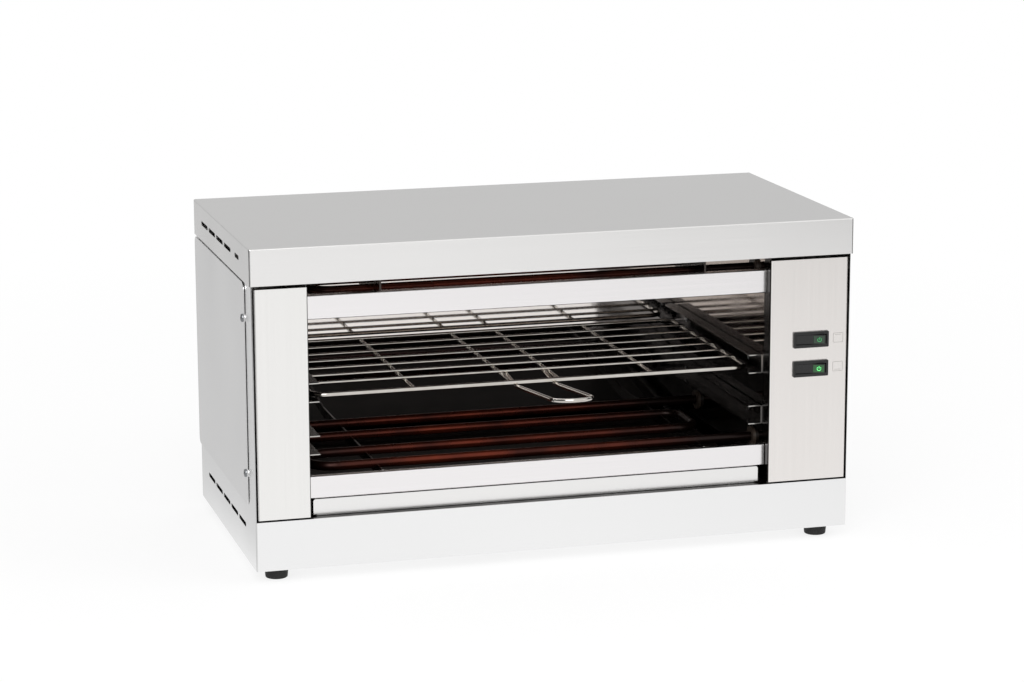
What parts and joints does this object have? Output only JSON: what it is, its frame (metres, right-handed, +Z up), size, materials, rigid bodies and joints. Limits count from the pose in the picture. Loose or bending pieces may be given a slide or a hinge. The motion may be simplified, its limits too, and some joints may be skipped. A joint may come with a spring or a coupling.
{
  "type": "commercial toaster",
  "caption": "Free-standing commercial toaster: steel case, open polished chamber with a sliding wire rack in rails, bent heater tubes above and below it, crumb tray and rocker switches.",
  "frame": {"origin": "on the table under the middle of the whole outline, from handle tip to cord inlet", "axes": "+X to the user's right, +Y from the open front to the back, +Z up"},
  "size_m": [0.5276, 0.3694, 0.283],
  "materials": {
    "case_steel": "fine satin",
    "chamber_steel": "polished",
    "rack_wire": "polished",
    "heater_sheath": "oxidised, glossy",
    "ceramic": "glazed",
    "switch_black": "moulded, satin",
    "lens_green": "clear tinted",
    "foot_rubber": "matt",
    "gland_plastic": "matt",
    "fastener_steel": "zinc plated",
    "terminal_brass": "plain"
  },
  "bodies": {
    "casing": {"chassis": "case_steel", "base_deck": "case_steel", "top_cover": "case_steel", "left_front_pillar": "case_steel", "control_panel": "case_steel", "left_side_cover": "case_steel", "right_side_cover": "case_steel", "rear_panel": "case_steel", "upper_front_bar": "case_steel", "lower_front_strip": "case_steel", "cavity_left_wall": "chamber_steel", "cavity_right_wall": "chamber_steel", "cavity_back_wall": "chamber_steel", "cavity_ceiling": "chamber_steel", "left_tray_runner": "chamber_steel", "right_tray_runner": "chamber_steel", "upper_left_rail": "chamber_steel", "upper_right_rail": "chamber_steel", "lower_left_rail": "chamber_steel", "lower_right_rail": "chamber_steel", "lower_right_heater_support": "chamber_steel", "lower_left_heater_support": "chamber_steel", "upper_right_heater_hanger": "chamber_steel", "upper_left_heater_hanger": "chamber_steel", "lower_heater": "heater_sheath", "upper_heater": "heater_sheath", "lower_heater_bushes": "ceramic", "upper_heater_bushes": "ceramic", "terminal_block": "ceramic", "upper_switch_body": "switch_black", "lower_switch_body": "switch_black", "front_left_foot": "foot_rubber", "front_right_foot": "foot_rubber", "rear_left_foot": "foot_rubber", "rear_right_foot": "foot_rubber", "cord_gland": "gland_plastic", "cord_gland_nut": "gland_plastic", "rail_rivets": "fastener_steel", "foot_screws": "fastener_steel", "side_cover_screws": "fastener_steel", "rear_panel_screws": "fastener_steel", "top_cover_screws": "fastener_steel", "heater_terminals": "fastener_steel", "upper_switch_terminals": "terminal_brass", "lower_switch_terminals": "terminal_brass"},
    "rack": {"rack_frame": "rack_wire", "rack_cross_wires": "rack_wire", "rack_long_wires": "rack_wire", "rack_handle": "rack_wire"},
    "tray": {"crumb_tray": "case_steel"},
    "upper_switch": {"upper_rocker": "switch_black", "upper_rocker_lens": "lens_green"},
    "lower_switch": {"lower_rocker": "switch_black", "lower_rocker_lens": "lens_green"}
  },
  "joints": [
    {"name": "rack_slide", "type": "slide", "parent": "casing", "child": "rack", "axis": [0, -1, 0], "range_m": [0, 0.19]},
    {"name": "tray_slide", "type": "slide", "parent": "casing", "child": "tray", "axis": [0, -1, 0], "range_m": [0, 0.2]},
    {"name": "upper_switch_rock", "type": "hinge", "parent": "casing", "child": "upper_switch", "pos_m": [0.2255, -0.08918, 0.1788], "axis": [0, 0, 1], "range_deg": [0, 18]},
    {"name": "lower_switch_rock", "type": "hinge", "parent": "casing", "child": "lower_switch", "pos_m": [0.2255, -0.08918, 0.1533], "axis": [0, 0, 1], "range_deg": [0, 18]}
  ]
}
